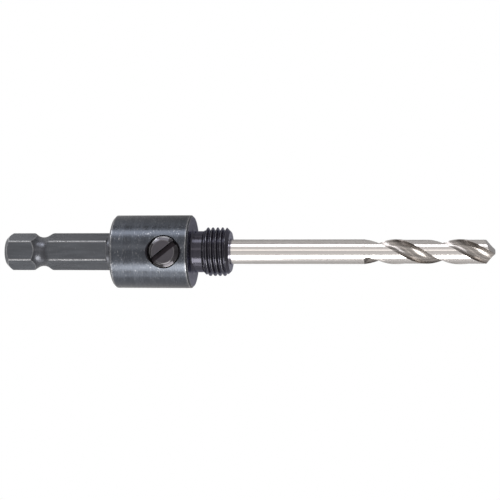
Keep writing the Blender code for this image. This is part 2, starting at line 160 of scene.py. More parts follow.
def thread_rows(bm, first_crest, pitch, outer, low, high, limit, angles):
    """A strip of faces that follows a right-hand thread between two flat ends."""
    depth = THREAD_DEPTH_SHARE * pitch
    flank = depth * math.tan(THREAD_FLANK_ANGLE)
    half_crest = pitch / 16
    root = outer - depth
    profile = rounded([
        (-pitch / 2, root, 0.0),
        (-half_crest - flank, root, THREAD_ROOT_FILLET),
        (-half_crest, outer, THREAD_CREST_FILLET),
        (half_crest, outer, THREAD_CREST_FILLET),
        (half_crest + flank, root, THREAD_ROOT_FILLET),
        (pitch / 2, root, 0.0),
    ], fine=0.16 * MM, coarse=0.2 * MM)[:-1]
    sweep = np.append(angles, angles[0] + 2.0 * math.pi)
    first_turn = math.floor((low - first_crest) / pitch) - 1
    last_turn = math.ceil((high - first_crest) / pitch) + 1
    before = None
    rear_x = low
    for turn in range(first_turn, last_turn + 1):
        for along, radius in profile:
            x = first_crest + (turn + sweep / (2.0 * math.pi)) * pitch + along
            x = np.clip(x, low, high)
            radii = softer_of(np.full_like(x, radius), limit(x), THREAD_END_BLEND)
            row = [bm.verts.new(spot) for spot in zip(x, radii * np.cos(sweep), radii * np.sin(sweep))]
            if before and x.max() > low and rear_x < high:
                for step in range(len(row) - 1):
                    bm.faces.new((before[step], before[step + 1], row[step + 1], row[step]))
            before = row
            rear_x = x.min()


def join_rings(bm, rings):
    """Face the strips between rings of equal count, any of which may be a single point."""
    for ring, following in zip(rings, rings[1:]):
        count = max(len(ring), len(following))
        for step in range(count):
            ahead = step + 1
            corners = [ring[step % len(ring)], ring[ahead % len(ring)]]
            corners += [following[ahead % len(following)], following[step % len(following)]]
            bm.faces.new(list(dict.fromkeys(corners)))


def turned_rows(bm, rows, angles):
    """Faces between rings, each a (place, radius or radii) pair; a radius of zero closes the end."""
    rings = []
    for x, radii in rows:
        radii = np.broadcast_to(radii, angles.shape)
        if radii.max() < TINY:
            ring = [bm.verts.new((x, 0.0, 0.0))]
        else:
            ring = [bm.verts.new((x, r * math.cos(a), r * math.sin(a))) for r, a in zip(radii, angles)]
        rings.append(ring)
    join_rings(bm, rings)


def weld(bm, reach, sliver):
    """Join the points that lie on one spot, and take out the slivers that are left."""
    bmesh.ops.remove_doubles(bm, verts=bm.verts, dist=reach)
    bmesh.ops.dissolve_degenerate(bm, dist=sliver, edges=bm.edges)


def metal_piece(name, bm):
    """A welded mesh object from a bmesh in which neighbouring strips share their end points."""
    weld(bm, JOIN_REACH, SLIVER_LENGTH)
    bmesh.ops.recalc_face_normals(bm, faces=bm.faces)
    mesh = bpy.data.meshes.new(name)
    bm.to_mesh(mesh)
    bm.free()
    piece = bpy.data.objects.new(name, mesh)
    bpy.context.scene.collection.objects.link(piece)
    return piece


def machined(piece, cutter, operation):
    """Cut or trim a piece with a cutter's body, which is then thrown away."""
    modifier = piece.modifiers.new("machining", 'BOOLEAN')
    modifier.operation = operation
    modifier.solver = 'EXACT'
    modifier.object = cutter
    graph = bpy.context.evaluated_depsgraph_get()
    shaped = bpy.data.meshes.new_from_object(piece.evaluated_get(graph))
    piece.modifiers.clear()
    clean = bmesh.new()
    clean.from_mesh(shaped)
    weld(clean, CUT_JOIN_REACH, CUT_SLIVER_LENGTH)
    clean.to_mesh(shaped)
    clean.free()
    piece.data = shaped
    bpy.data.objects.remove(cutter, do_unlink=True)


def shade(piece, sharp_angle):
    """Shade a piece smooth, apart from the edges that bend by more than an angle."""
    piece.data.shade_smooth()
    piece.data.set_sharp_from_angle(angle=sharp_angle)


def mark_worn_edges(piece, first, full):
    """Store how sharply the surface bends outward at each point, from 0 to 1, as worn_edge.

    Wear starts at the first bend and is full at the other, both in radians per millimetre.
    """
    mesh = piece.data
    places = np.empty(len(mesh.vertices) * 3)
    normals = np.empty(len(mesh.vertices) * 3)
    ends = np.empty(len(mesh.edges) * 2, dtype=int)
    mesh.vertices.foreach_get("co", places)
    mesh.vertices.foreach_get("normal", normals)
    mesh.edges.foreach_get("vertices", ends)
    places = places.reshape(-1, 3)
    normals = normals.reshape(-1, 3)
    start, stop = ends.reshape(-1, 2).T
    run = places[stop] - places[start]
    shortest_square = 1e-14
    run_square = np.maximum((run ** 2).sum(axis=1), shortest_square)
    bend = ((normals[stop] - normals[start]) * run).sum(axis=1) / run_square
    sharpest = np.zeros(len(places))
    np.maximum.at(sharpest, start, bend)
    np.maximum.at(sharpest, stop, bend)
    worn = np.clip((sharpest * MM - first) / (full - first), 0.0, 1.0)
    mesh.attributes.new("worn_edge", 'FLOAT', 'POINT').data.foreach_set("value", worn)


sector = math.pi / 3
corner_centre = CORNER_RADIUS - SHANK_EDGE_RADIUS
arc = [sector * (step / CORNER_STEPS - 0.5) for step in range(CORNER_STEPS + 1)]
corner_angles = [cmath.phase(corner_centre + cmath.rect(SHANK_EDGE_RADIUS, turn)) for turn in arc]
flat_start = corner_angles[-1]
flat_angles = [flat_start + (sector - 2 * flat_start) * step / FLAT_STEPS for step in range(1, FLAT_STEPS)]
sector_angles = np.array(corner_angles + flat_angles)
hexagon_angles = np.concatenate([sector_angles + sector * corner for corner in range(6)]) + SHANK_TURN

from_corner = (hexagon_angles - SHANK_TURN + sector / 2) % sector - sector / 2
flat_radii = SHANK_FLATS / 2 / np.cos(sector / 2 - np.abs(from_corner))
reach = np.maximum(SHANK_EDGE_RADIUS ** 2 - (corner_centre * np.sin(from_corner)) ** 2, 0.0)
corner_radii = corner_centre * np.cos(from_corner) + np.sqrt(reach)
hexagon_radii = np.where(np.abs(from_corner) <= flat_start + TINY, corner_radii, flat_radii)

clear = CORNER_RADIUS + CLEAR_OF_CORNERS
groove_x = SHANK_END_X + GROOVE_TO_SHANK_END
groove_floor = CORNER_RADIUS - GROOVE_DEPTH
groove_foot = groove_floor + GROOVE_RADIUS * (1.0 - math.cos(GROOVE_SIDE_ANGLE))
floor_half = GROOVE_RADIUS * math.sin(GROOVE_SIDE_ANGLE)
groove_half = floor_half + (clear - groove_foot) / math.tan(GROOVE_SIDE_ANGLE)
floor_run = (clear - groove_floor) / math.tan(GROOVE_SIDE_ANGLE)
relief_x = BODY_REAR_X - RELIEF_WIDTH
relief_radius = SHANK_FLATS / 2 + RELIEF_ABOVE_FLATS
corner_end_x = relief_x - CORNER_SETBACK
shank_line = rounded([
    (SHANK_END_X, 0.0, 0.0),
    (SHANK_END_X, CORNER_RADIUS - SHANK_END_CHAMFER, EDGE_BREAK),
    (SHANK_END_X + SHANK_END_CHAMFER + clear - CORNER_RADIUS, clear, 0.0),
    (groove_x - groove_half, clear, 0.0),
    (groove_x - groove_half + floor_run, groove_floor, 0.0),
    (groove_x + groove_half - floor_run, groove_floor, 0.0),
    (groove_x + groove_half, clear, 0.0),
    (corner_end_x - RELIEF_WALL, clear, 0.0),
], fine=0.07 * MM, coarse=0.6 * MM)
NECK_RADIUS = THREAD_RADIUS - THREAD_DEPTH_SHARE * THREAD_PITCH - NECK_UNDERCUT
body_line = rounded([
    (corner_end_x - RELIEF_WALL, clear, 0.0),
    (corner_end_x + RELIEF_WALL, relief_radius, RELIEF_WALL_FILLET),
    (BODY_REAR_X, relief_radius, RELIEF_END_FILLET),
    (BODY_REAR_X, BODY_RADIUS - BODY_REAR_CHAMFER, EDGE_BREAK),
    (BODY_REAR_X + BODY_REAR_CHAMFER, BODY_RADIUS, EDGE_BREAK),
    (SHOULDER_X - BODY_FRONT_CHAMFER, BODY_RADIUS, EDGE_BREAK),
    (SHOULDER_X, BODY_RADIUS - BODY_FRONT_CHAMFER, EDGE_BREAK),
    (SHOULDER_X, NECK_RADIUS, NECK_FILLET),
    (THREAD_X, NECK_RADIUS, 0.0),
], fine=0.1 * MM, coarse=0.45 * MM)
nose_line = rounded([
    (NOSE_X, THREAD_RADIUS - NOSE_CHAMFER, 0.0),
    (NOSE_X, BORE_RADIUS + BORE_MOUTH_CHAMFER, 0.0),
    (NOSE_X - BORE_MOUTH_CHAMFER, BORE_RADIUS, 0.0),
    (NOSE_X - BORE_DEPTH, BORE_RADIUS, 0.0),
    (NOSE_X - BORE_DEPTH - BORE_RADIUS * BORE_CONE_SHARE, 0.0, 0.0),
], fine=0.4 * MM, coarse=1.0 * MM)


def groove_radius(x):
    """Radius of the groove's round floor and straight sides at one place."""
    away = abs(x - groove_x)
    if away < floor_half:
        return groove_floor + GROOVE_RADIUS - math.sqrt(GROOVE_RADIUS ** 2 - away ** 2)
    return clear - (groove_half - away) * math.tan(GROOVE_SIDE_ANGLE)


arbor_rows = []
for x, radius in shank_line:
    if abs(x - groove_x) < groove_half:
        radius = groove_radius(x)
    blend = SHANK_END_BLEND if x < groove_x else GROOVE_BLEND
    arbor_rows.append((x, softer_of(hexagon_radii, np.full_like(hexagon_radii, radius), blend)))
for x, radius in body_line:
    if x < BODY_REAR_X - RELIEF_ROUND_END:
        radius = softer_of(hexagon_radii, np.full_like(hexagon_radii, radius), RELIEF_BLEND)
    arbor_rows.append((x, radius))

arbor_mesh = bmesh.new()
turned_rows(arbor_mesh, arbor_rows, hexagon_angles)


def nose_limit(x):
    """The thread's run-out at the neck and the chamfer at the nose."""
    return np.minimum(NECK_RADIUS + x - THREAD_X, THREAD_RADIUS - NOSE_CHAMFER + NOSE_X - x)


thread_rows(arbor_mesh, THREAD_X + THREAD_FIRST_CREST, THREAD_PITCH, THREAD_RADIUS,
            THREAD_X, NOSE_X, nose_limit, hexagon_angles)
turned_rows(arbor_mesh, nose_line, hexagon_angles)
arbor = metal_piece("arbor_body_steel", arbor_mesh)

hole_mesh = bmesh.new()
round_angles = np.linspace(0.0, 2.0 * math.pi, ROUND_STEPS + 1)[:-1]
hole_rim = BODY_RADIUS - SCREW_HOLE_CHAMFER
turned_rows(hole_mesh, [
    (SCREW_HOLE_FLOOR, 0.0),
    (SCREW_HOLE_FLOOR, SCREW_HOLE_RADIUS),
    (hole_rim, SCREW_HOLE_RADIUS),
    (hole_rim + SCREW_HOLE_OVERCUT, SCREW_HOLE_RADIUS + SCREW_HOLE_OVERCUT),
    (hole_rim + SCREW_HOLE_OVERCUT, 0.0),
], round_angles)
screw_hole = metal_piece("screw_hole", hole_mesh)
upright = Matrix(((0, 1, 0), (0, 0, 1), (1, 0, 0))).to_4x4()
screw_hole.data.transform(Matrix.Translation((SCREW_X, 0.0, 0.0)) @ upright)
mark_worn_edges(arbor, first=1.0, full=4.2)
machined(arbor, screw_hole, 'DIFFERENCE')
arbor.data.transform(Matrix.Translation((0.0, 0.0, AXIS_Z)))
shade(arbor, SHARP_ANGLE)


def metal_nodes(name, colour, roughness, metallic=1.0, edge_tint=(1.0, 1.0, 1.0)):
    """A metal material with its shader, ready for the marks that its making leaves."""
    material = bpy.data.materials.new(name)
    material.use_nodes = True
    nodes = material.node_tree.nodes
    shader = nodes["Principled BSDF"]
    shader.inputs["Base Color"].default_value = (*colour, 1.0)
    shader.inputs["Metallic"].default_value = metallic
    shader.inputs["Specular Tint"].default_value = (*edge_tint, 1.0)
    shader.inputs["Roughness"].default_value = roughness
    return material, nodes, material.node_tree.links, shader


def calculate(nodes, links, operation, *inputs):
    """A Math node whose inputs are sockets or plain numbers; returns its output."""
    node = nodes.new("ShaderNodeMath")
    node.operation = operation
    for socket, value in zip(node.inputs, inputs):
        if isinstance(value, (int, float)):
            socket.default_value = value
        else:
            links.new(value, socket)
    return node.outputs[0]


def remap(nodes, links, value, low, high, new_low, new_high):
    """A Map Range node; returns its output."""
    node = nodes.new("ShaderNodeMapRange")
    links.new(value, node.inputs["Value"])
    for key, number in (("From Min", low), ("From Max", high), ("To Min", new_low), ("To Max", new_high)):
        node.inputs[key].default_value = number
    return node.outputs["Result"]


def object_places(nodes, links):
    """The three places of a point in its object's own frame."""
    parts = nodes.new("ShaderNodeSeparateXYZ")
    links.new(nodes.new("ShaderNodeTexCoord").outputs["Object"], parts.inputs[0])
    return parts.outputs


def from_axis(nodes, links, first, second):
    """How far a point is from an axis, out of its two places across the axis."""
    square = calculate(nodes, links, 'MULTIPLY', second, second)
    radius_square = calculate(nodes, links, 'MULTIPLY_ADD', first, first, square)
    return calculate(nodes, links, 'SQRT', radius_square)


def axis_places(nodes, links):
    """Place along the arbor, the two places across it from its axis, and radius."""
    along, across, height = object_places(nodes, links)
    up = calculate(nodes, links, 'SUBTRACT', height, AXIS_Z)
    return along, across, up, from_axis(nodes, links, across, up)


def worn_share(nodes):
    """The wear that mark_worn_edges stored on the piece, from 0 to 1."""
    attribute = nodes.new("ShaderNodeAttribute")
    attribute.attribute_name = "worn_edge"
    return attribute.outputs["Fac"]


def noise_at(nodes, links, parts, scales, detail, roughness=0.5):
    """Noise over three places, each with its own number of waves per millimetre."""
    domain = nodes.new("ShaderNodeCombineXYZ")
    for socket, part, scale in zip(domain.inputs, parts, scales):
        links.new(calculate(nodes, links, 'MULTIPLY', part, scale / MM), socket)
    noise = nodes.new("ShaderNodeTexNoise")
    noise.inputs["Scale"].default_value = 1.0
    noise.inputs["Detail"].default_value = detail
    noise.inputs["Roughness"].default_value = roughness
    links.new(domain.outputs[0], noise.inputs["Vector"])
    return noise.outputs["Fac"]


def colour_between(nodes, links, share, first, second):
    """Mixes two colours, each a socket or a plain colour, by a socket from 0 to 1."""
    mix = nodes.new("ShaderNodeMix")
    mix.data_type = 'RGBA'
    links.new(share, mix.inputs["Factor"])
    for key, colour in (("A", first), ("B", second)):
        socket = [each for each in mix.inputs if each.name == key and each.type == 'RGBA'][0]
        if isinstance(colour, tuple):
            socket.default_value = (*colour, 1.0)
        else:
            links.new(colour, socket)
    return [each for each in mix.outputs if each.type == 'RGBA'][0]


def raise_marks(nodes, links, shader, height, depth):
    """Bump of a real depth in metres from a height socket."""
    bump = nodes.new("ShaderNodeBump")
    bump.inputs["Strength"].default_value = 1.0
    bump.inputs["Distance"].default_value = depth
    links.new(height, bump.inputs["Height"])
    links.new(bump.outputs["Normal"], shader.inputs["Normal"])


def give_finishes(piece, finishes):
    """Give a piece its finishes, which its faces then pick by their place in the list."""
    piece.data.materials.clear()
    for finish in finishes:
        piece.data.materials.append(finish)


def blackened_steel(name, colour, worn_colour, roughness, lay, mark_depth, scuffs,
                    metallic=1.0, edge_tint=(1.0, 1.0, 1.0)):
    """Black oxide over lathe marks or over the marks that drawing leaves along the bar.

    Scuffs is how much of the skin is nicked through to bare metal, from 0 to 1.
    """
    material, nodes, links, shader = metal_nodes(name, colour, roughness, metallic, edge_tint)
    along, across, up, radius = axis_places(nodes, links)
    if lay == "turned":
        fine = noise_at(nodes, links, (along, radius, across), (6.0, 6.0, 0.06), 2.0)
        broad = noise_at(nodes, links, (along, radius, up), (0.9, 0.9, 0.12), 3.0, 0.6)
    else:
        fine = noise_at(nodes, links, (across, up, along), (5.0, 5.0, 0.12), 2.0)
        broad = noise_at(nodes, links, (across, up, along), (1.1, 1.1, 0.15), 2.0)
    cloud = noise_at(nodes, links, (along, across, up), (0.35, 0.35, 0.35), 3.0, 0.6)
    grain = noise_at(nodes, links, (along, across, up), (5.0, 5.0, 5.0), 3.0, 0.7)
    nicks = noise_at(nodes, links, (along, up, across), (3.4, 3.4, 1.6), 2.0, 0.6)
    patches = remap(nodes, links, nicks, 0.35, 0.62, 0.25, 1.2)
    worn = calculate(nodes, links, 'MULTIPLY', worn_share(nodes), patches)
    nicked = remap(nodes, links, nicks, 0.66 - 0.06 * scuffs, 0.74, 0.0, scuffs)
    scuffed = calculate(nodes, links, 'MULTIPLY', nicked, remap(nodes, links, cloud, 0.4, 0.6, 0.2, 1.0))
    bare = calculate(nodes, links, 'MAXIMUM', worn, scuffed)
    grain_tone = calculate(nodes, links, 'MULTIPLY', grain, 0.3)
    tone = calculate(nodes, links, 'MULTIPLY_ADD', broad, 0.7, grain_tone)
    tone = remap(nodes, links, tone, 0.35, 0.65, 0.0, 1.0)
    darker = tuple(part * 0.87 for part in colour)
    lighter = tuple(part * 1.13 for part in colour)
    oxide = colour_between(nodes, links, tone, darker, lighter)
    links.new(colour_between(nodes, links, bare, oxide, worn_colour), shader.inputs["Base Color"])
    broad_sheen = remap(nodes, links, broad, 0.3, 0.7, -0.06, 0.06)
    grain_sheen = remap(nodes, links, grain, 0.3, 0.7, -0.05, 0.05)
    sheen = calculate(nodes, links, 'ADD', broad_sheen, grain_sheen)
    links.new(calculate(nodes, links, 'ADD', sheen, roughness), shader.inputs["Roughness"])
    marks = calculate(nodes, links, 'MULTIPLY_ADD', broad, 1.5, fine)
    marks = calculate(nodes, links, 'MULTIPLY_ADD', grain, 0.15, marks)
    raise_marks(nodes, links, shader, marks, mark_depth)
    return material


OXIDE = (0.0765, 0.084, 0.0985)
BAR_OXIDE = (0.097, 0.103, 0.115)
GROOVE_OXIDE = (0.09, 0.093, 0.104)
DARK_OXIDE = (0.057, 0.0555, 0.068)
# Painted shade: the screw hole's chamfer and wall are coloured darker than the barrel.
RIM_PAINTED_SHADE = (0.05, 0.047, 0.058)
WORN_OXIDE = (0.46, 0.46, 0.47)
WORN_CUTS = (0.15, 0.15, 0.165)
CUTS_EDGE_TINT = (0.82, 0.83, 1.0)
BARREL, BAR, CUTS, GROOVE, RIM = range(5)
give_finishes(arbor, [
    blackened_steel("blackened_turned", OXIDE, WORN_OXIDE, roughness=0.27, lay="turned",
                    mark_depth=0.0022 * MM, scuffs=0.8),
    blackened_steel("blackened_bar", BAR_OXIDE, WORN_OXIDE, roughness=0.4, lay="drawn",
                    mark_depth=0.001 * MM, scuffs=0.2),
    blackened_steel("blackened_cuts", DARK_OXIDE, WORN_CUTS, roughness=0.19, lay="turned",
                    mark_depth=0.0012 * MM, scuffs=0.1, metallic=0.8, edge_tint=CUTS_EDGE_TINT),
    blackened_steel("blackened_groove", GROOVE_OXIDE, WORN_OXIDE, roughness=0.33, lay="turned",
                    mark_depth=0.001 * MM, scuffs=0.1),
    # Rim finish: painted shade of the gap round the screw.
    blackened_steel("blackened_rim_with_painted_shade", RIM_PAINTED_SHADE, RIM_PAINTED_SHADE, roughness=0.35, lay="turned",
                    mark_depth=0.001 * MM, scuffs=0.0, metallic=0.7),
])
CUT_SLACK = 0.05 * MM
BARREL_INNER = BODY_RADIUS - BODY_REAR_CHAMFER - 0.1 * MM
BARREL_END_X = SHOULDER_X - 0.02 * MM
RIM_REACH = SCREW_HOLE_RADIUS + 0.5 * MM
RIM_OUTER = BODY_RADIUS - 0.01 * MM
for face in arbor.data.polygons:
    centre = face.center
    radius = math.hypot(centre.y, centre.z - AXIS_Z)
    if centre.x < BODY_REAR_X - CUT_SLACK:
        from_cut = abs(radius - groove_radius(centre.x))
        in_groove = abs(centre.x - groove_x) < groove_half and from_cut < CUT_SLACK
        in_relief = centre.x > corner_end_x + RELIEF_WALL
        face.material_index = GROOVE if in_groove or in_relief else BAR
    else:
        on_barrel = centre.x < BARREL_END_X and radius > BARREL_INNER
        near_hole = centre.z > AXIS_Z and math.hypot(centre.x - SCREW_X, centre.y) < RIM_REACH
        if near_hole and radius < RIM_OUTER:
            face.material_index = RIM
        else:
            face.material_index = BARREL if on_barrel else CUTS
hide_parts("arbor_body")
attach(arbor, "arbor")

# Pilot drill. A 1/4 in high-speed steel twist drill, ground bright, with two helical flutes and a
# relieved 118 degree point. Its shank slides into the arbor's bore, where the set screw holds it.
drill_low, drill_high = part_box("pilot_drill")
PILOT_REAR_X = drill_low.x
TIP_X = drill_high.x
PILOT_RADIUS = 6.35 / 2 * MM
PILOT_REAR_CHAMFER = 0.4 * MM
PILOT_FLAT_DEPTH = 0.75 * MM
PILOT_FLAT_REACH = 4.47 * MM
FLUTE_LENGTH = 33.07 * MM
FLUTE_LEAD = 32.24 * MM
FLUTE_RUNOUT = 4.0 * MM
LAND_ANGLE = math.radians(92.0)
WEB_THICKNESS = 1.0 * MM
MARGIN_WIDTH = 0.6 * MM
LAND_RELIEF = 0.12 * MM
POINT_ANGLE = math.radians(118.0)
LIP_DIRECTION = math.radians(75.0)
LIP_CLEARANCE = math.radians(11.3)
FLANK_RADIUS = 4.0 * MM
GULLET_START = 0.5
GULLET_WEB_PULL = 0.22
GULLET_HEEL_PULL = 0.52
HEEL_HOOK = math.radians(30.0)
RUNOUT_NARROWING = 0.4
FLUTE_START_X = TIP_X - FLUTE_LENGTH
LIP_CORNER_ANGLE = math.asin(WEB_THICKNESS / 2 / PILOT_RADIUS)
RING_STEP = 0.22 * MM
OVERRUN = 1.0 * MM
DRILL_SHARP_ANGLE = math.radians(28.0)


def flank_drop(along, behind):
    """How far a ground flank falls back, along the lip and behind it."""
    trail = behind + WEB_THICKNESS / 2
    drop = along / math.tan(POINT_ANGLE / 2)
    return drop + trail * math.tan(LIP_CLEARANCE) + trail ** 2 / (2.0 * FLANK_RADIUS)


def flute_section():
    """One flute as (radius, angle) points: the wall in front of the lip, then the round gullet."""
    half_web = WEB_THICKNESS / 2
    corner_along = PILOT_RADIUS * math.cos(LIP_CORNER_ANGLE)
    inner_along = GULLET_START * PILOT_RADIUS
    face_steps = 9
    face = []
    for step in range(1, face_steps + 1):
        along = corner_along + (inner_along - corner_along) * step / face_steps
        setback = (corner_along - along) / math.tan(POINT_ANGLE / 2)
        angle = math.atan2(half_web, along) - 2.0 * math.pi * setback / FLUTE_LEAD
        face.append((math.hypot(along, half_web), angle))
    before, start = [cmath.rect(radius, angle) for radius, angle in face[-2:]]
    heel_angle = LIP_CORNER_ANGLE - LAND_ANGLE + math.pi
    heel = cmath.rect(PILOT_RADIUS - LAND_RELIEF, heel_angle)
    inward = (start - before) / abs(start - before)
    start_handle = start + GULLET_WEB_PULL * PILOT_RADIUS * inward
    heel_handle = heel - cmath.rect(GULLET_HEEL_PULL * PILOT_RADIUS, heel_angle - HEEL_HOOK)
    gullet_steps = 22
    for step in range(1, gullet_steps):
        t = step / gullet_steps
        spot = (1 - t) ** 3 * start + 3 * t * (1 - t) ** 2 * start_handle
        spot += 3 * t * t * (1 - t) * heel_handle + t ** 3 * heel
        face.append(cmath.polar(spot))
    return face


full_flute = flute_section()


def drill_ring(bm, x, depth, radius_share=1.0, turn_x=None):
    """A ring of points round the drill; depth runs from 0, still round, to 1, fully fluted."""
    corner_drop = flank_drop(PILOT_RADIUS * math.cos(LIP_CORNER_ANGLE), -WEB_THICKNESS / 2)
    lip_corner_x = TIP_X + flank_drop(0.0, 0.0) - corner_drop
    turn = LIP_DIRECTION + 2.0 * math.pi * ((x if turn_x is None else turn_x) - lip_corner_x) / FLUTE_LEAD
    heel = LIP_CORNER_ANGLE - LAND_ANGLE
    next_heel = heel + math.pi
    width = 1.0 - RUNOUT_NARROWING * (1.0 - depth)
    lifted_corner = next_heel - (next_heel - LIP_CORNER_ANGLE) * width
    margin = MARGIN_WIDTH / PILOT_RADIUS
    land_end = lifted_corner - margin - 0.5 * LAND_RELIEF / PILOT_RADIUS
    land_steps = 22
    points = []
    for step in range(land_steps + 1):
        points.append((PILOT_RADIUS - LAND_RELIEF * depth, heel + (land_end - heel) * step / land_steps))
    margin_steps = 4
    for step in range(margin_steps + 1):
        points.append((PILOT_RADIUS, lifted_corner - margin * (1.0 - step / margin_steps)))
    for place, (radius, angle) in enumerate(full_flute, start=1):
        if depth == 0.0:
            angle = LIP_CORNER_ANGLE + (next_heel - LIP_CORNER_ANGLE) * place / (len(full_flute) + 1)
        radius = PILOT_RADIUS - (PILOT_RADIUS - radius) * depth
        points.append((radius, next_heel - (next_heel - angle) * width))
    ring = []
    for half in range(2):
        for radius, angle in points:
            place = angle + turn + math.pi * half
            spot = cmath.rect(radius * radius_share, place)
            ring.append(bm.verts.new((x, spot.real, spot.imag)))
    return ring


drill_mesh = bmesh.new()
rings = [[drill_mesh.verts.new((PILOT_REAR_X, 0.0, 0.0))]]
rear_share = 1.0 - PILOT_REAR_CHAMFER / PILOT_RADIUS
rings.append(drill_ring(drill_mesh, PILOT_REAR_X, 0.0, rear_share, turn_x=FLUTE_START_X))
plain_start = PILOT_REAR_X + PILOT_REAR_CHAMFER
plain_rings = 40
for step in range(plain_rings):
    x = plain_start + (FLUTE_START_X - plain_start) * step / plain_rings
    rings.append(drill_ring(drill_mesh, x, 0.0, turn_x=FLUTE_START_X))
rings.append(drill_ring(drill_mesh, FLUTE_START_X, 0.0))
runout_rings = 30
for step in range(1, runout_rings + 1):
    part = step / runout_rings
    depth = math.sqrt(1.0 - (1.0 - part * part) ** 2)
    rings.append(drill_ring(drill_mesh, FLUTE_START_X + FLUTE_RUNOUT * part * part, depth))
full_start_x = FLUTE_START_X + FLUTE_RUNOUT
full_length = FLUTE_LENGTH - FLUTE_RUNOUT + OVERRUN
full_rings = math.ceil(full_length / RING_STEP)
for step in range(1, full_rings + 1):
    rings.append(drill_ring(drill_mesh, full_start_x + full_length * step / full_rings, 1.0))
rings.append([drill_mesh.verts.new((TIP_X + OVERRUN, 0.0, 0.0))])
join_rings(drill_mesh, rings)
drill = metal_piece("pilot_drill_steel", drill_mesh)

chisel_slope = math.tan(LIP_CLEARANCE) + WEB_THICKNESS / (2.0 * FLANK_RADIUS)
chisel_angle = math.atan2(-1.0, -chisel_slope * math.tan(POINT_ANGLE / 2))
peak_x = TIP_X + flank_drop(0.0, 0.0)


def point_surface(radius, angle):
    """Where the ground point lies at a radius and an angle from the lip's direction."""
    along = radius * math.cos(angle)
    behind = -radius * math.sin(angle)
    return peak_x - max(flank_drop(along, behind), flank_drop(-along, -behind))


blank_mesh = bmesh.new()
rings = [[blank_mesh.verts.new((TIP_X, 0.0, 0.0))]]
radial_steps = 18
around_steps = 120
for radial in range(1, radial_steps + 1):
    radius = (PILOT_RADIUS + OVERRUN) * radial / radial_steps
    ring = []
    for step in range(around_steps):
        angle = chisel_angle + 2.0 * math.pi * step / around_steps
        spot = cmath.rect(radius, angle + LIP_DIRECTION)
        ring.append(blank_mesh.verts.new((point_surface(radius, angle), spot.real, spot.imag)))
    rings.append(ring)
rear_x = PILOT_REAR_X - OVERRUN
rings.append([blank_mesh.verts.new((rear_x, vertex.co.y, vertex.co.z)) for vertex in rings[-1]])
rings.append([blank_mesh.verts.new((rear_x, 0.0, 0.0))])
join_rings(blank_mesh, rings)
machined(drill, metal_piece("point_blank", blank_mesh), 'INTERSECT')

flat_mesh = bmesh.new()
bmesh.ops.create_cube(flat_mesh, size=1.0)
flat_height = PILOT_RADIUS - PILOT_FLAT_DEPTH
flat_cut = (2 * PILOT_FLAT_REACH, 4 * PILOT_RADIUS, 2 * PILOT_RADIUS)
bmesh.ops.scale(flat_mesh, vec=flat_cut, verts=flat_mesh.verts)
bmesh.ops.translate(flat_mesh, vec=(SCREW_X, 0.0, flat_height + PILOT_RADIUS), verts=flat_mesh.verts)
machined(drill, metal_piece("screw_flat", flat_mesh), 'DIFFERENCE')
drill.data.transform(Matrix.Translation((0.0, 0.0, AXIS_Z)))
shade(drill, DRILL_SHARP_ANGLE)


def bright_steel(name, colour, roughness, lay, mark_depth, stain_share):
    """Bare tool steel with the marks of its last grinding: round, helix or point."""
    material, nodes, links, shader = metal_nodes(name, colour, roughness)
    along, across, up, radius = axis_places(nodes, links)
    if lay == "helix":
        flat_places = nodes.new("ShaderNodeCombineXYZ")
        links.new(across, flat_places.inputs[0])
        links.new(up, flat_places.inputs[1])
        unwound = nodes.new("ShaderNodeVectorRotate")
        unwound.rotation_type = 'Z_AXIS'
        links.new(flat_places.outputs[0], unwound.inputs["Vector"])
        angle = calculate(nodes, links, 'MULTIPLY', along, -2.0 * math.pi / FLUTE_LEAD)
        links.new(angle, unwound.inputs["Angle"])
        parts = nodes.new("ShaderNodeSeparateXYZ")
        links.new(unwound.outputs[0], parts.inputs[0])
        on_helix = (parts.outputs[0], parts.outputs[1], along)
        fine = noise_at(nodes, links, on_helix, (10.0, 10.0, 0.35), 2.0, 0.7)
        broad = noise_at(nodes, links, on_helix, (2.2, 2.2, 0.1), 2.0)
    elif lay == "round":
        fine = noise_at(nodes, links, (along, radius, across), (11.0, 11.0, 0.05), 1.0)
        broad = noise_at(nodes, links, (along, across, up), (0.05, 1.2, 1.2), 2.0)
    else:
        fine = noise_at(nodes, links, (along, across, up), (16.0, 3.0, 3.0), 2.0)
        broad = noise_at(nodes, links, (along, across, up), (1.0, 1.0, 1.0), 2.0)
    stain = remap(nodes, links, broad, 0.3, 0.7, 0.0, 1.0)
    stained = tuple(part * (1.0 - stain_share) for part in colour)
    links.new(colour_between(nodes, links, stain, stained, colour), shader.inputs["Base Color"])
    sheen = remap(nodes, links, fine, 0.3, 0.7, roughness * 0.7, roughness * 1.3)
    links.new(sheen, shader.inputs["Roughness"])
    raise_marks(nodes, links, shader, fine, mark_depth)
    return material


SHANK_STEEL = (0.74, 0.71, 0.69)
FLUTE_STEEL = (0.47, 0.437, 0.412)
POINT_STEEL = (0.41, 0.395, 0.395)
PLAIN, FLUTES, POINT = range(3)
give_finishes(drill, [
    bright_steel("ground_shank", SHANK_STEEL, roughness=0.16, lay="round",
                 mark_depth=0.0006 * MM, stain_share=0.06),
    bright_steel("lapped_flutes", FLUTE_STEEL, roughness=0.26, lay="helix",
                 mark_depth=0.004 * MM, stain_share=0.55),
    bright_steel("ground_point", POINT_STEEL, roughness=0.24, lay="point",
                 mark_depth=0.002 * MM, stain_share=0.1),
])
POINT_SLACK = 0.03 * MM
POINT_LEAN = 0.15
FLUTE_OUTER = PILOT_RADIUS - 1.6 * LAND_RELIEF
for face in drill.data.polygons:
    across = face.center.y
    up = face.center.z - AXIS_Z
    radius = math.hypot(across, up)
    angle = math.atan2(up, across) - LIP_DIRECTION
    from_point = abs(face.center.x - point_surface(radius, angle))
    if from_point < POINT_SLACK and face.normal.x > POINT_LEAN:
        face.material_index = POINT
    elif radius < FLUTE_OUTER and face.center.x > FLUTE_START_X - OVERRUN:
        face.material_index = FLUTES
    else:
        face.material_index = PLAIN
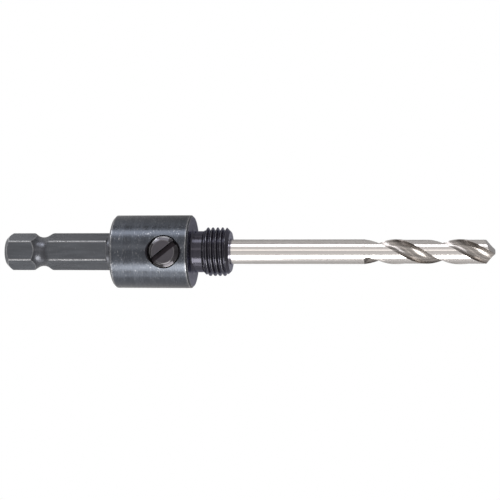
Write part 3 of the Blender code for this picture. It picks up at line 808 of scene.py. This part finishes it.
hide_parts("pilot_drill")
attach(drill, "arbor")

# Set screw. A slotted headless 5/16-24 screw of dark heat-treated steel. It is turned in through
# the side of the body until its point bears on the flat of the drill's shank.
SCREW_RADIUS = 7.94 / 2 * MM
SCREW_PITCH = 25.4 / 24 * MM
SCREW_FACE_RADIUS = 2.95 * MM
SCREW_TOP_SLOPE = math.radians(33.0)
SCREW_FACE_EDGE = 0.35 * MM
SCREW_FACE_FILLET = 0.5 * MM
SCREW_FIRST_CREST = 0.3 * MM
SCREW_POINT_CHAMFER = 1.2 * MM
SLOT_WIDTH = 1.3 * MM
SLOT_DEPTH = 2.0 * MM
SLOT_EDGE = 0.05 * MM
SLOT_DIRECTION = math.radians(38.0)
SLOT_SLACK = 0.01 * MM
CHAMFER_REACH = 1.0 * MM
SCREW_MARK_DEPTH = 0.002 * MM
SCREW_LENGTH = screw_high.z - screw_low.z

screw_mesh = bmesh.new()
point_line = rounded([
    (0.0, 0.0, 0.0),
    (0.0, SCREW_RADIUS - SCREW_POINT_CHAMFER, 0.0),
], fine=0.1 * MM, coarse=0.3 * MM)
turned_rows(screw_mesh, point_line, round_angles)


def screw_limit(x):
    """The chamfers at the screw's point and at its slotted end."""
    slope = SCREW_FACE_RADIUS + (SCREW_LENGTH - x) / math.tan(SCREW_TOP_SLOPE)
    return np.minimum(SCREW_RADIUS - SCREW_POINT_CHAMFER + x, slope)


edge_x = SCREW_LENGTH - SCREW_FACE_EDGE * math.sin(SCREW_TOP_SLOPE)
thread_rows(screw_mesh, SCREW_FIRST_CREST, SCREW_PITCH, SCREW_RADIUS, 0.0, edge_x,
            screw_limit, round_angles)
face_line = rounded([
    (edge_x, screw_limit(edge_x), 0.0),
    (SCREW_LENGTH, SCREW_FACE_RADIUS, SCREW_FACE_FILLET),
    (SCREW_LENGTH, 0.0, 0.0),
], fine=0.04 * MM, coarse=0.3 * MM)
turned_rows(screw_mesh, face_line, round_angles)
screw = metal_piece("set_screw_steel", screw_mesh)
screw.data.transform(upright)

slot_mesh = bmesh.new()
half_slot = SLOT_WIDTH / 2
slot_floor = SCREW_LENGTH - SLOT_DEPTH
slot_outline = [
    (-half_slot, slot_floor),
    (half_slot, slot_floor),
    (half_slot, SCREW_LENGTH - SLOT_EDGE),
    (half_slot + 2 * SLOT_EDGE, SCREW_LENGTH + SLOT_EDGE),
    (-half_slot - 2 * SLOT_EDGE, SCREW_LENGTH + SLOT_EDGE),
    (-half_slot, SCREW_LENGTH - SLOT_EDGE),
]
slot_ends = []
for x in (-2 * SCREW_RADIUS, 2 * SCREW_RADIUS):
    slot_ends.append([slot_mesh.verts.new((x, y, z)) for y, z in slot_outline])
join_rings(slot_mesh, slot_ends)
for ring in slot_ends:
    slot_mesh.faces.new(ring)
mark_worn_edges(screw, first=1.2, full=5.0)
machined(screw, metal_piece("driver_slot", slot_mesh), 'DIFFERENCE')


def screw_steel(name, colour, worn_colour, roughness):
    """Dark heat-treated steel with facing rings about the screw's own axis."""
    material, nodes, links, shader = metal_nodes(name, colour, roughness)
    along, across, height = object_places(nodes, links)
    away = calculate(nodes, links, 'SUBTRACT', along, SCREW_X)
    radius = from_axis(nodes, links, across, away)
    rings = noise_at(nodes, links, (radius, height, away), (7.0, 7.0, 0.05), 1.0)
    cloud = noise_at(nodes, links, (away, across, height), (0.8, 0.8, 0.8), 3.0)
    darker = tuple(part * 0.8 for part in colour)
    oxide = colour_between(nodes, links, cloud, darker, colour)
    base = colour_between(nodes, links, worn_share(nodes), oxide, worn_colour)
    links.new(base, shader.inputs["Base Color"])
    sheen = remap(nodes, links, rings, 0.3, 0.7, roughness - 0.06, roughness + 0.06)
    links.new(sheen, shader.inputs["Roughness"])
    raise_marks(nodes, links, shader, rings, SCREW_MARK_DEPTH)
    return material


SCREW_OXIDE = (0.099, 0.094, 0.107)
WORN_SCREW = (0.3, 0.3, 0.3)
# Painted shade: the slot's inside is the screw's steel coloured darker.
SLOT_PAINTED_SHADE = (0.056, 0.048, 0.056)
# Painted shade: the chamfer round the face is the screw's steel coloured darker.
CHAMFER_PAINTED_SHADE = (0.06, 0.057, 0.063)
WORN_CHAMFER = (0.16, 0.16, 0.16)
ROUND, SLOT, CHAMFER = range(3)
give_finishes(screw, [
    screw_steel("dark_screw_finish", SCREW_OXIDE, WORN_SCREW, roughness=0.36),
    # Painted shade inside the slot.
    screw_steel("unlit_slot", SLOT_PAINTED_SHADE, SLOT_PAINTED_SHADE, roughness=0.5),
    # Painted shade on the chamfer: the dark ring round the face.
    screw_steel("smooth_chamfer_with_painted_shade", CHAMFER_PAINTED_SHADE, WORN_CHAMFER, roughness=0.11),
])
for face in screw.data.polygons:
    centre = face.center
    in_slot = abs(centre.y) < half_slot + SLOT_EDGE / 2 and centre.z > slot_floor - SLOT_SLACK
    near_top = centre.z > SCREW_LENGTH - CHAMFER_REACH and face.normal.z > 0.5
    if in_slot and (face.normal.z < 0.6 or centre.z < slot_floor + SLOT_SLACK):
        face.material_index = SLOT
    elif near_top and math.hypot(centre.x, centre.y) > SCREW_FACE_RADIUS:
        face.material_index = CHAMFER
    else:
        face.material_index = ROUND
turned_in = Matrix.Translation((SCREW_X, 0.0, screw_low.z)) @ Matrix.Rotation(SLOT_DIRECTION, 4, 'Z')
screw.data.transform(turned_in)
shade(screw, SHARP_ANGLE)
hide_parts("set_screw")
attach(screw, "set_screw")

# Ground and light. A matt table under soft boxes on both sides, a low strip and a top strip, in a
# pale room. Only the steel sees the table: the camera sees a sheet in its place that glows white.
GROUND_SIZE = 3.0
TABLE_DROP = 0.1 * MM
# Table greys with painted shade: pale towards the shank end, darker under the arbor's front and drill.
NEAR_SHADE_TONES = (0.7, 0.46)
FAR_SHADE_TONES = (0.9, 0.42)
ROOM_COLOUR = (1.0, 0.975, 0.965)
COOL_LIGHT = (0.97, 0.99, 1.05)
NEAR_LIGHT = (1.0, 0.99, 0.97)
WARM_LIGHT = (1.0, 0.95, 0.9)
ROOM_LIGHT = 0.74
DRILL_END_SHADE = 0.3
SHANK_END_SHADE = 0.95
FAR_WALL_SHADE = 0.65
BOOM_SHADE = 0.85


def plain_sheet(name, size, height):
    """A square sheet in the stage, facing up."""
    bm = bmesh.new()
    corners = [(-1, -1), (1, -1), (1, 1), (-1, 1)]
    bm.faces.new([bm.verts.new((x * size / 2, y * size / 2, 0.0)) for x, y in corners])
    mesh = bpy.data.meshes.new(name)
    bm.to_mesh(mesh)
    bm.free()
    sheet = bpy.data.objects.new(name, mesh)
    sheet.location = (0.0, 0.0, height)
    bpy.context.scene.collection.objects.link(sheet)
    return sheet


def ground_paint(name, colour, glow):
    """Matt paint for the stage, which may glow."""
    material = bpy.data.materials.new(name)
    material.use_nodes = True
    shader = material.node_tree.nodes["Principled BSDF"]
    shader.inputs["Base Color"].default_value = (*colour, 1.0)
    shader.inputs["Roughness"].default_value = 0.9
    shader.inputs["Specular IOR Level"].default_value = 0.0
    shader.inputs["Emission Color"].default_value = (1.0, 1.0, 1.0, 1.0)
    shader.inputs["Emission Strength"].default_value = glow
    return material


body_foot = AXIS_Z - BODY_RADIUS
white_ground = plain_sheet("white_ground", GROUND_SIZE, body_foot)
white_ground.data.materials.append(ground_paint("white_ground_paint", (0.0, 0.0, 0.0), glow=1.0))
white_ground.visible_glossy = False
white_ground.visible_diffuse = False
white_ground.visible_shadow = False
table = plain_sheet("table_top", GROUND_SIZE, body_foot - TABLE_DROP)
table.data.materials.append(ground_paint("table_shade_paint", (0.4, 0.4, 0.4), glow=0.0))
table.visible_camera = False
# Painted shade in the table's grey: pale at the shank end, palest on the far side, mid grey under the
# drill.
nodes = table.data.materials[0].node_tree.nodes
links = table.data.materials[0].node_tree.links
along, across, height = object_places(nodes, links)
near_shade_tone = remap(nodes, links, along, -0.03, 0.0, *NEAR_SHADE_TONES)
far_shade_tone = remap(nodes, links, along, -0.07, -0.02, *FAR_SHADE_TONES)
far_share = remap(nodes, links, across, -0.03, 0.03, 0.0, 1.0)
shade_tone_step = calculate(nodes, links, 'SUBTRACT', far_shade_tone, near_shade_tone)
tone = calculate(nodes, links, 'MULTIPLY_ADD', shade_tone_step, far_share, near_shade_tone)
links.new(tone, nodes["Principled BSDF"].inputs["Base Color"])

world = bpy.data.worlds.new("pale_room")
world.use_nodes = True
nodes = world.node_tree.nodes
links = world.node_tree.links
direction = nodes.new("ShaderNodeSeparateXYZ")
links.new(nodes.new("ShaderNodeTexCoord").outputs["Generated"], direction.inputs[0])
sideways = calculate(nodes, links, 'ABSOLUTE', direction.outputs[1])
drill_end = remap(nodes, links, direction.outputs[0], 0.7, 0.93, 1.0, DRILL_END_SHADE)
shank_end = remap(nodes, links, direction.outputs[0], -0.85, -0.5, SHANK_END_SHADE, 1.0)
far_wall = remap(nodes, links, direction.outputs[1], 0.9, 0.97, 1.0, FAR_WALL_SHADE)
open_ends = calculate(nodes, links, 'MULTIPLY', drill_end, shank_end)
walls = calculate(nodes, links, 'MULTIPLY', open_ends, far_wall)
boom = remap(nodes, links, sideways, 0.05, 0.15, BOOM_SHADE, 1.0)
room_share = calculate(nodes, links, 'MULTIPLY', walls, boom)
background = nodes["Background"]
background.inputs["Color"].default_value = (*ROOM_COLOUR, 1.0)
links.new(calculate(nodes, links, 'MULTIPLY', room_share, ROOM_LIGHT), background.inputs["Strength"])
bpy.context.scene.world = world


def soft_box(name, shape, tilt, reach, width, length, centre_x, radiance, colour=(1.0, 1.0, 1.0)):
    """A light panel along the arbor that faces its axis, tilted from overhead towards +Y."""
    data = bpy.data.lights.new(name, 'AREA')
    data.shape = shape
    data.size = length
    data.size_y = width
    data.color = colour
    area = length * width * (math.pi / 4 if shape == 'ELLIPSE' else 1.0)
    data.energy = radiance * math.pi * area
    light = bpy.data.objects.new(name, data)
    light.location = (centre_x, reach * math.sin(tilt), AXIS_Z + reach * math.cos(tilt))
    light.rotation_euler = (-tilt, 0.0, 0.0)
    light.visible_camera = False
    bpy.context.scene.collection.objects.link(light)


soft_box("far_soft_box", 'RECTANGLE', math.radians(62.0), reach=0.6, width=0.185, length=1.02,
         centre_x=-0.39, radiance=2.8, colour=COOL_LIGHT)
soft_box("left_soft_box", 'ELLIPSE', math.radians(62.0), reach=0.58, width=0.2, length=0.3,
         centre_x=-0.44, radiance=3.6, colour=COOL_LIGHT)
soft_box("near_soft_box", 'ELLIPSE', math.radians(-51.0), reach=0.6, width=0.35, length=0.46,
         centre_x=0.02, radiance=6.1, colour=NEAR_LIGHT)
soft_box("low_strip", 'RECTANGLE', math.radians(-78.0), reach=0.6, width=0.17, length=0.54,
         centre_x=-0.34, radiance=1.6)
soft_box("top_strip", 'RECTANGLE', math.radians(15.0), reach=0.6, width=0.11, length=1.3,
         centre_x=0.05, radiance=0.8, colour=WARM_LIGHT)

# Camera. It looks down at the arbor's middle from about 360 mm through a long lens, and stands a
# little to the drill's side of it.
LENS_LENGTH = 99.36
SENSOR_WIDTH = 36.0
CAMERA_TILT = math.radians(8.3)
CAMERA_REACH = 358.4 * MM
CAMERA_TARGET = Vector((1.085 * MM, 0.44 * MM, 9.5 * MM))
lens = bpy.data.cameras.new("photo_camera")
lens.lens = LENS_LENGTH
lens.sensor_width = SENSOR_WIDTH
lens.clip_start = 0.01
lens.clip_end = 20.0
camera = bpy.data.objects.new("photo_camera", lens)
view_axis = Vector((math.sin(CAMERA_TILT), 0.0, math.cos(CAMERA_TILT)))
camera.location = CAMERA_TARGET + CAMERA_REACH * view_axis
camera.rotation_euler = (0.0, CAMERA_TILT, 0.0)
bpy.context.scene.collection.objects.link(camera)
bpy.context.scene.camera = camera
bpy.context.scene.view_settings.view_transform = 'Standard'
